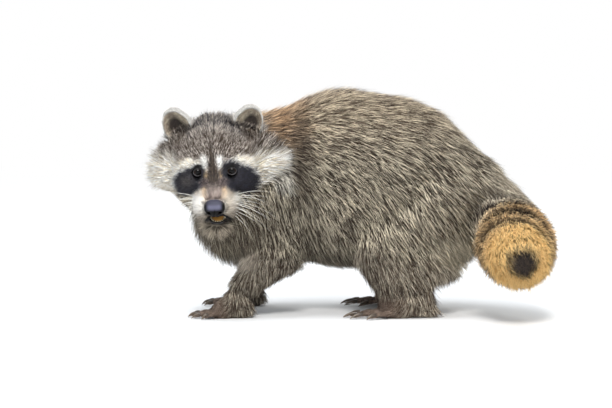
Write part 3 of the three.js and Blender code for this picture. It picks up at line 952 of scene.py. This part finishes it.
class Roots:
    """Places on the skin where tufts grow, with what they take from it."""

    def __init__(self, skin, surface, weights):
        mesh = skin.data
        normals = surface.normals()
        values = coat_values(surface.points, weights)
        bare = in_the_way(surface.points, ROOT_MARGIN)
        bare |= (surface.points[:, 2] < 3) & (normals[:, 2] < 0.2)  # the soles
        mesh.calc_loop_triangles()
        triangles = read(mesh.loop_triangles, "vertices", 3, np.int32)
        loops = read(mesh.loop_triangles, "loops", 3, np.int32)
        uv = read(mesh.uv_layers["OFBake"].data, "uv", 2)
        a, b, c = (surface.points[triangles[:, i]] for i in range(3))
        area = norms(np.cross(b - a, c - a)) / 2
        wanted = area * (values[3] * (1 - bare))[triangles].mean(axis=1)
        chosen = rng.choice(len(triangles), TUFTS, p=wanted / wanted.sum())
        share = rng.random((TUFTS, 2))
        outside = share.sum(axis=1) > 1
        share[outside] = 1 - share[outside]
        share = np.column_stack([1 - share.sum(axis=1), share])

        def taken(per_vertex):
            return np.einsum("nk,nk...->n...", share, per_vertex[triangles[chosen]])

        self.points = taken(surface.points)
        self.normals = unit(taken(normals))
        self.weights = taken(weights)
        self.broad = taken(surface.smoothed(weights, LIE_PASSES))
        _, self.length, self.width, _, self.lift = taken(values.T).T
        self.uv = np.einsum("nk,nkd->nd", share, uv[loops[chosen]])


def in_the_way(points, margin):
    """True where hair would stand over an eye, over the nose or in the open mouth."""
    places = on_head(points)
    blocked = (off_nose(places) < 1) | ((off_mouth(places) < 1) & (places[:, 0] > MOUTH_BACK))
    for side in SIDES:
        _, radius, lean, opening = round_eye(places, side)
        blocked |= (radius < EYE + 8) & (lean < opening + margin)
    return blocked


def clumped(roots):
    """For each tuft, the tuft that leads its clump."""
    leaders = rng.choice(len(roots.points), len(roots.points) // CLUMP_OF, replace=False)
    tree = KDTree(len(leaders))
    for i, place in enumerate(roots.points[leaders].tolist()):
        tree.insert(place, i)
    tree.balance()
    return leaders[[tree.find(place)[1] for place in roots.points.tolist()]]


def tuft_places(roots, leader):
    """The root, belly and tip of each tuft, three corners to set round it, and which are guards."""
    count = len(roots.points)
    flow = unit(mixed(FLOWS, roots.points, roots.broad))
    sway = np.stack([wander(roots.points, SWAY_WAVE, seed) for seed in SWAY_SEEDS], axis=1)
    loose = 0.35 + 0.65 * ease(roots.length, 6, 20)[:, None]
    flow = flow + loose * (SWAY * sway + STRAY * rng.normal(size=(count, 3)))
    flow = unit(flow - (flow * roots.normals).sum(axis=1, keepdims=True) * roots.normals)
    lift = np.radians(roots.lift * rng.uniform(*LIFTS, count))[:, None]
    start = np.cos(lift) * flow + np.sin(lift) * roots.normals
    guard = (rng.random(count) < GUARD) & (roots.length > SHORT) & (roots.points[:, 1] > GUARD_END)
    length = (roots.length * rng.uniform(*LENGTHS, count) * np.where(guard, GUARD_LONGER, 1))[:, None]
    finish = np.cos(BEND * lift) * flow + np.sin(BEND * lift) * roots.normals
    finish[:, 2] -= DROOP * ease(roots.length, 8, 26)
    belly = roots.points + BELLY_AT * length * start
    tip = belly + (1 - BELLY_AT) * length * unit(finish)
    gap = tip[leader] - tip
    near = np.minimum(1, CLUMP / np.maximum(np.linalg.norm(gap, axis=1, keepdims=True), 1e-6))
    tip += PULL * rng.uniform(0.4, 1, count)[:, None] * near * gap
    root = roots.points - ROOTED * roots.normals
    for places in (belly, tip, root):
        places[:, 2] = np.maximum(places[:, 2], CLEAR)
    side = unit(np.cross(tip - root, roots.normals))
    out = unit(np.cross(side, tip - root))
    half = (roots.width * rng.uniform(*WIDTHS, count) * np.where(guard, GUARD_THINNER, 1) / 2)[:, None]
    return root, belly, tip, np.stack([half * side, FLATNESS * half * out, -half * side], axis=1), guard


def layered(*layers):
    """Layers of one or three corners, or of their colours, as one array for each tuft."""
    return np.concatenate([layer.reshape(len(layer), -1, 3) for layer in layers], axis=1)


def tuft_tints(roots, leader, read_at, guard):
    """The colours of each tuft as a spindle and as a thorn, and which tufts are thorns."""
    count = len(roots.points)
    tone = CLUMP_TONE * rng.random(count)[leader] + OWN_TONE * rng.random(count)
    tone = np.clip(0.5 + TONE_SPREAD * (tone - 0.5) + 0.07 * wander(roots.points, 30, 31), 0, 1)
    tint = mixed(PATTERNS, read_at, roots.weights, tone) * rng.uniform(0.9, 1.1, count)[:, None]
    plain = share_in(roots.weights, "ear", "fore_paw", "hind_paw", "tail_tip")
    plain += 0.7 * share_in(roots.weights, "tail_middle")
    plain += share_in(roots.weights, "head") * ease(tint[:, 2], 0.35, 0.7)
    plain += share_in(roots.weights, "neck", "trunk") * ease(tint[:, 2], 0.66, 0.8)
    plain = np.clip(plain, 0, 1)[:, None]
    under = (rng.random(count) < UNDERCOAT) & (roots.length > SHORT) & ~guard
    tint *= 1 - 0.45 * under[:, None] * (1 - plain)
    tipped = ((rng.random(count) < 0.5) * ease(roots.length, 7, 16))[:, None]
    tip = tint * (1 + (1 - plain) * (0.55 - 1.1 * tipped) + 0.1 * plain)
    belly = tint * (1 - (1 - plain) * (0.3 - 0.2 * tipped))
    spindle = layered((0.4 + 0.45 * plain) * tint, np.tile(belly, 3), tip)
    return spindle, layered(np.tile(belly * (0.7 + 0.25 * plain), 3), tip), (roots.length < SHORT) | under


def make_coat(skin, surface, weights):
    roots = Roots(skin, surface, weights)
    leader = clumped(roots)
    root, belly, tip, across, guard = tuft_places(roots, leader)
    read_at = root + READ_AT * (tip - root)
    spindle_tints, thorn_tints, thorny = tuft_tints(roots, leader, read_at, guard)
    kinds = (
        (SPINDLE, ~thorny, layered(root, belly[:, None] + across, tip), spindle_tints),
        (THORN, thorny, layered(root[:, None] + across, tip), thorn_tints),
    )
    clear = np.ones(len(root), bool)
    for share in (0.25, 0.5, 0.75, 1):
        clear &= ~in_the_way(root + share * (tip - root), TUFT_MARGIN)
    material = shader("coat", 0.75, 0.2, grain=0.9, relief=0.1, mottle=0.08)
    order = rng.permutation(len(root))
    order = order[clear[order]]
    for k in range(COAT_PIECES):
        share = order[k::COAT_PIECES]
        parts, patches = [], []
        for (shape, patch), mine, places, tints in kinds:
            chosen = share[mine[share]]
            faces = shape + places.shape[1] * np.arange(len(chosen))[:, None, None]
            parts.append([rows.reshape(-1, 3) for rows in (places[chosen], faces, tints[chosen])])
            patches.append((roots.uv[chosen][:, None] + UV_PATCH * (patch - 0.5)).reshape(-1, 2))
        piece = piece_of(f"coat_{k + 1}", parts, material)
        uv = np.concatenate(patches)[read(piece.data.loops, "vertex_index", 1, np.int32)[:, 0]]
        layer = piece.data.uv_layers.new(name="OFBake")
        layer.data.foreach_set("uv", np.clip(uv, 0, 1).astype(np.float32).ravel())


# ---- Small pieces ----
def grid_faces(rows, columns):
    """Quads of a grid of points that closes round its columns."""
    i = np.arange(rows - 1)[:, None] * columns
    j = np.arange(columns)[None]
    after = (j + 1) % columns
    return np.stack([i + j, i + after, i + columns + after, i + columns + j], axis=-1).reshape(-1, 4)


def joined(parts):
    """Several (points, faces, colours) as one."""
    points, faces, colours, start = [], [], [], 0
    for part_points, part_faces, part_colours in parts:
        points.append(part_points)
        faces.append(part_faces + start)
        colours.append(np.broadcast_to(part_colours, part_points.shape))
        start += len(part_points)
    return np.concatenate(points), np.concatenate(faces), np.concatenate(colours)


def piece_of(name, parts, material, replaces=()):
    points, faces, colours = joined(parts)
    piece = object_of(name, points, faces, material)
    paint(piece, colours)
    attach(piece, "root")
    if replaces:
        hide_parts(*replaces)
    return piece


def turns(count):
    """Even steps once round."""
    return np.arange(count) * 2 * math.pi / count


def direction(lean, turn):
    """Directions by their lean from the first axis and their turn round it."""
    return np.stack([np.cos(lean), np.sin(lean) * np.cos(turn), np.sin(lean) * np.sin(turn)], axis=1)


def ball(centre, radii, axes, rows=32, columns=48):
    """An ellipsoid's points and faces, its pole along the first axis, with the lean at each point."""
    lean = np.repeat(np.linspace(0.004, math.pi - 0.004, rows), columns)
    local = direction(lean, np.tile(turns(columns), rows))
    return centre + (local * radii) @ axes, grid_faces(rows, columns), lean


def tube(path, radii, sides):
    """A round tube along points, with a radius at each."""
    path = np.asarray(path, float)
    ahead = unit(np.gradient(path, axis=0))
    first = unit(np.cross(ahead, [0.31, 0.17, 0.94]))
    second = np.cross(ahead, first)
    turn = turns(sides)[:, None]
    ring = np.cos(turn) * first[:, None] + np.sin(turn) * second[:, None]
    points = path[:, None] + np.asarray(radii, float)[:, None, None] * ring
    return points.reshape(-1, 3), grid_faces(len(path), sides)


def arc(start, middle, end, steps):
    """A smooth bend from start to end, drawn towards middle."""
    t = np.linspace(0, 1, steps)[:, None]
    start, middle, end = (np.asarray(p, float) for p in (start, middle, end))
    return (1 - t) ** 2 * start + 2 * t * (1 - t) * middle + t**2 * end


# ---- Eyes and lids ----
PUPIL, IRIS = 0.42, 0.82  # radians of the eyeball
EYE_GRID = 64, 48  # points from pole to pole and once round


def make_eye(side, material):
    points, faces, lean = ball(eye_centres[side], EYE, eye_frame(side) @ HEAD_AXES, *EYE_GRID)
    cornea = 0.35 * fall(lean, 0, IRIS + 0.1)
    points = points + cornea[:, None] * unit(points - eye_centres[side])
    colour = blend(linear((0.05, 0.03, 0.02)), linear((0.13, 0.075, 0.045)), ease(lean, PUPIL, IRIS - 0.1))
    colour = blend(colour, linear((0.05, 0.04, 0.04)), ease(lean, IRIS - 0.05, IRIS + 0.03))
    colour = blend(linear((0.015, 0.012, 0.014)), colour, ease(lean, PUPIL - 0.02, PUPIL + 0.02))
    piece_of(f"eye_{side}_ball", [(points, faces, colour)], material, [f"eye_{side}"])


LID_STEPS = 72
LID_PROFILE = (  # reach beyond the opening in radians, height over the eyeball in mm
    (-0.02, -0.5),
    (0.0, 0.2),
    (0.02, 0.5),
    (0.06, 0.75),
    (0.11, 0.75),
    (0.17, 0.5),
    (0.25, 0.1),
    (0.4, -0.6),
)


def make_lid(side):
    """The ring of both lids, from inside the opening to under the skin."""
    turn = turns(LID_STEPS)
    outer = -0.8 * np.sin(turn) + 0.6 * np.cos(turn)
    rows, tints = [], []
    for reach, height in LID_PROFILE:
        local = direction(lid_opening(turn) + reach, turn)
        rows.append(eye_centres[side] + (EYE + height) * local @ eye_frame(side) @ HEAD_AXES)
        rim = bump(reach, 0.05, 0.03) * ease(outer, 0.2, 0.9)
        tints.append(blend(BLACK * 0.4, linear((0.40, 0.38, 0.40)), 0.4 * rim))
    return np.concatenate(rows), grid_faces(len(rows), LID_STEPS), np.concatenate(tints)


# ---- Nose ----
NOSE_RADII = np.array([9.0, 13.6, 10.2])
NOSE_GRID = 80, 112
NOSTRIL = (7.2, -3.4)  # left and up from the middle of the pad


def make_nose(material):
    """A pad with a flat top that turns down over its front, narrower below, and split in the middle."""
    points, faces, _ = ball(np.zeros(3), np.ones(3), np.eye(3), *NOSE_GRID)
    squared = (np.abs(points) ** 2.7).sum(axis=1) ** (-1 / 2.7)
    forward, left, up = (points * squared[:, None] * NOSE_RADII).T
    left = left * (1 - 0.30 * ease(-up, 0, 11) - 0.06 * ease(up, 3, 9))
    up = up - 1.0 * bump(left, 0, 5) * ease(-up, 3, 9)
    side = np.abs(left)
    wing = bump(side, 11, 3) * bump(up, -2, 3.5)
    hole = bump(side, NOSTRIL[0], 1.9) * bump(up, NOSTRIL[1], 1.4)
    slit = bump(up, NOSTRIL[1] + 0.8, 0.8) * ease(side, 8, 9.5) * fall(side, 11.5, 13)
    groove = bump(left, 0, 0.6) * fall(up, 0, 4)
    front = ease(forward, 0, 4)
    push = front * (0.6 * wing - 5 * np.minimum(1, 1.5 * hole) - 1.8 * slit - 0.9 * groove)
    points = np.stack([forward + push, left, up], axis=1)
    # Painted sheen: the top of the pad blue-grey as a painted reflection of the sky, the rest near black,
    # and the nostrils near black too.
    sheen = ease(up, -1, 5) * fall(np.abs(left), 6, 11.5) * (1 - 0.6 * ease(up, 6, 9.5))
    colour = blend(linear((0.012, 0.011, 0.012)), linear((0.36, 0.36, 0.43)), sheen)
    colour = blend(colour, linear((0.015, 0.012, 0.014)), front * np.clip(1.6 * hole + 0.6 * slit, 0, 1))
    places = from_head(nose_place + np.array([-0.4, 0, 0.4]) + points)
    piece_of("nose_pad", [(places, faces, colour)], material, ["nose"])


# ---- Mouth ----
def make_mouth(material):
    pink, ochre = linear((0.66, 0.40, 0.32)), linear((0.84, 0.62, 0.33))
    tongue, faces, _ = ball(np.array([29, MOUTH_ASKEW, -49.4]), np.array([14, 8, 3.2]), np.eye(3))
    groove = bump(tongue[:, 1], MOUTH_ASKEW, 1.2) * ease(tongue[:, 2], -49, -47)
    tongue[:, 2] -= 0.7 * groove
    # The inside is a near-black ball: painted shade in the open mouth.
    inside, _, _ = ball(np.array([20, MOUTH_ASKEW * 0.5, -47.0]), np.array([17, 11.5, 7]), np.eye(3))
    t = np.linspace(-1, 1, 41)
    lip = [46.5 - 21 * np.abs(t) ** 2.2, MOUTH_ASKEW + 12.2 * np.sin(t * math.pi / 2), -50.2 + 1.6 * t**2]
    lip_points, lip_faces = tube(np.stack(lip, axis=1), 1.5 - 0.4 * t**2, 10)
    parts = [
        (from_head(tongue), faces, blend(pink, ochre, ease(tongue[:, 0], 24, 40))),
        (from_head(inside), faces, linear((0.05, 0.035, 0.035))),
        (from_head(lip_points), lip_faces, linear((0.055, 0.05, 0.055))),
    ]
    piece_of("mouth_inside", parts, material, ["mouth"])


def make_teeth(material):
    cream = linear((0.88, 0.82, 0.68))
    parts = []
    for k in range(-4, 5):
        t = k / 4.4
        canine = abs(k) == 4
        foot = np.array([44.6 - 15 * abs(t) ** 2.2, MOUTH_ASKEW + 8.8 * math.sin(t * math.pi / 2), -50.8])
        height, radius = (5.2, 1.4) if canine else (3.0, 1.0)
        path = arc(foot, foot + (1.0, 0, height * 0.6), foot + (0.4, 0.3 * t, height), 7)
        radii = radius * np.array([1, 1, 0.98, 0.9, 0.75 - 0.2 * canine, 0.5 - 0.25 * canine, 0.06])
        points, faces = tube(path, radii, 8)
        parts.append((from_head(points), faces, cream))
    piece_of("teeth", parts, material)


# ---- Claws ----
FINGERS = 5
KNUCKLES = 0.52  # share of the paw's length
CLAW_SIDES = 10


def make_claws(material):
    horn, tip_tint = linear((0.20, 0.16, 0.13)), linear((0.42, 0.36, 0.29))
    t = np.linspace(0, 1, 14)
    parts = []
    for (x, y), heading, length, width in PAWS.values():
        ahead = np.array([-math.cos(heading), -math.sin(heading), 0])
        aside = np.array([math.sin(heading), -math.cos(heading), 0])
        for spread in np.linspace(-1, 1, FINGERS):
            turn = spread * 0.4
            span = length * (1 - KNUCKLES) * (1 - 0.28 * spread**2)
            knuckle = np.array([x, y, 0]) + ahead * length * KNUCKLES * (0.98 - 0.2 * spread**2)
            knuckle += aside * spread * width * 0.4
            way = ahead * math.cos(turn) + aside * math.sin(turn)

            def at(share, up):
                return knuckle + way * span * share + (0, 0, up)

            path = arc(at(0.88, 6.2), at(1.14, 7.4), at(1.33, 0.9), len(t))
            points, faces = tube(path, 0.25 + 2.35 * (1 - t) ** 0.75, CLAW_SIDES)
            parts.append((points, faces, blend(horn, tip_tint, np.repeat(t, CLAW_SIDES))))
    piece_of("claws", parts, material)


# ---- Whiskers ----
def make_whiskers(material):
    white = linear((0.93, 0.92, 0.89))
    parts = []

    def whisker(root, way, length, droop, radius):
        root, way = np.array(root, float), unit(np.array(way, float))
        end = root + length * way + (0, 0, -droop)
        bend = root + 0.5 * length * way + (0, 0, 0.12 * length)
        t = np.linspace(0, 1, 11)
        points, faces = tube(from_head(arc(root, bend, end, len(t))), radius * (1 - 0.9 * t), 5)
        parts.append((points, faces, white))

    for s in SIDES.values():
        for row in range(4):
            for k in range(4):
                root = (30 + 5.5 * k - 1.5 * row, (18.5 - 1.9 * k + 0.4 * row) * s, -22.5 - 4.2 * row)
                way = (0.10 + 0.16 * k - 0.25, s, 0.22 - 0.26 * row + rng.uniform(-0.08, 0.08))
                whisker(root, way, (64 - 9 * k) * rng.uniform(0.75, 1.1), rng.uniform(2, 14), 0.30)
        for k in range(3):
            whisker((-2 + 2 * k, (17 + 5 * k) * s, 11), (0.35, 0.5 * s, 0.8), rng.uniform(16, 26), 3, 0.22)
        whisker((6, 34 * s, -34), (0.1, s, -0.3), 34, 6, 0.25)
    piece_of("whiskers", parts, material)


# ---- The dressed raccoon ----
unwrap(skin)
skin_tone = 0.5 + 0.25 * wander(skin_surface.points, 9, 41)
paint(skin, mixed(PATTERNS, skin_surface.points, skin_weights, skin_tone) * 0.5)
skin.data.materials.clear()
skin.data.materials.append(shader("skin", 0.8, 0.25, grain=1.1, relief=0.5, mottle=0.15))
skin.data.polygons.foreach_set("use_smooth", np.ones(len(skin.data.polygons), bool))
make_coat(skin, skin_surface, skin_weights)
lid_material = shader("lid", 0.5, 0.35, grain=0.8, relief=0.4)
piece_of("lids", [make_lid(side) for side in SIDES], lid_material)
eye_material = shader("eye", 0.07, 0.14, grain=0.7, relief=0.0, mottle=0.3, stretch=(1, 0.3, 1))
for side in SIDES:
    make_eye(side, eye_material)
make_nose(shader("nose", 0.34, 0.12, grain=0.75, relief=0.5, cells=True))
make_mouth(shader("mouth", 0.25, 0.5, grain=0.9, relief=0.3, mottle=0.1, cells=True))
make_teeth(shader("tooth", 0.3, 0.5, grain=2.5, relief=0.05, mottle=0.12))
make_claws(shader("claw", 0.35, 0.5, grain=1.2, relief=0.25, mottle=0.25, stretch=(0.25, 1, 1)))
make_whiskers(shader("whisker", 0.4, 0.5, grain=3, relief=0.0, mottle=0.1))


# ---- Camera, light and floor; lengths here are in metres ----
def aim(made, place, way):
    made.location = place
    made.rotation_euler = way.to_track_quat("-Z", "Y").to_euler()


CAMERA_AT = Vector((-0.0596, 0.0503, 0.1429))  # what it looks at
CAMERA_AWAY = 4.4875
CAMERA_LENS = 199
CAMERA_HEIGHT = math.radians(5)
camera_way = Vector((0, math.cos(CAMERA_HEIGHT), -math.sin(CAMERA_HEIGHT)))
camera = placed("camera", bpy.data.cameras.new("camera"))
camera.data.lens = CAMERA_LENS
camera.data.clip_end = 100
aim(camera, CAMERA_AT - camera_way * CAMERA_AWAY, camera_way)
bpy.context.scene.camera = camera


def looked_at(tree):
    """1 where the camera, a reflection or a view through glass sees the surface, and 0 for its light."""
    path = add(tree, "LightPath")
    total = path["Is Camera Ray"]
    for name in ("Is Glossy Ray", "Is Transmission Ray"):
        total = add(tree, "Math", {0: total, 1: path[name]}, operation="ADD", use_clamp=True)[0]
    return total


FLOOR_REACH = 60  # far enough that its edge meets the background from every side
FLOOR_FADE = {"From Min": 0.7, "From Max": 2.6}  # how far out it turns to white


def make_floor():
    material = bpy.data.materials.new("floor")
    material.use_nodes = True
    tree = material.node_tree
    pale = tree.nodes["Principled BSDF"]
    feed(tree, pale, {"Base Color": (0.80, 0.80, 0.80, 1), "Roughness": 1.0, "Specular IOR Level": 0.0})
    away = add(tree, "VectorMath", {0: add(tree, "NewGeometry")["Position"]}, operation="LENGTH")["Value"]
    fade = add(tree, "MapRange", {"Value": away, **FLOOR_FADE}, interpolation_type="SMOOTHSTEP")["Result"]
    shown = add(tree, "Math", {0: fade, 1: looked_at(tree)}, operation="MULTIPLY")[0]
    either = add(tree, "MixShader", {0: shown, 1: pale.outputs[0], 2: add(tree, "Emission")[0]})[0]
    feed(tree, tree.nodes["Material Output"], {"Surface": either})
    corners = FLOOR_REACH / MM * np.array([(-1, -1, 0), (1, -1, 0), (1, 1, 0), (-1, 1, 0)])
    object_of("floor", corners, [[0, 1, 2, 3]], material, smooth=False)


def make_world():
    """Soft light from all round, and white where the camera or a reflection looks past the floor."""
    world = bpy.data.worlds.new("world")
    bpy.context.scene.world = world
    world.use_nodes = True
    tree = world.node_tree
    sky = tree.nodes["Background"]
    feed(tree, sky, {"Color": (0.90, 0.95, 1.0, 1), "Strength": 0.88})
    white = add(tree, "Background", {"Color": (1, 1, 1, 1), "Strength": 1.0})[0]
    either = add(tree, "MixShader", {0: looked_at(tree), 1: sky.outputs[0], 2: white})[0]
    feed(tree, tree.nodes["World Output"], {"Surface": either})


LAMPS_AT = Vector((0, 0, 0.12))  # what they shine on


def make_lamp(name, place, power, size, colour):
    lamp = placed(name, bpy.data.lights.new(name, "AREA"))
    lamp.data.energy, lamp.data.size, lamp.data.color = power, size, colour
    aim(lamp, place, LAMPS_AT - Vector(place))


make_floor()
make_world()
make_lamp("key", (0.1, -2.6, 2.3), 102, 0.9, (1, 0.98, 0.95))
make_lamp("above", (-0.35, -0.25, 2.6), 34, 1.5, (0.93, 0.96, 1))
make_lamp("rim", (1.6, 1.4, 2.6), 34, 1.6, (1, 0.97, 0.92))

bpy.context.scene.view_settings.view_transform = "Standard"
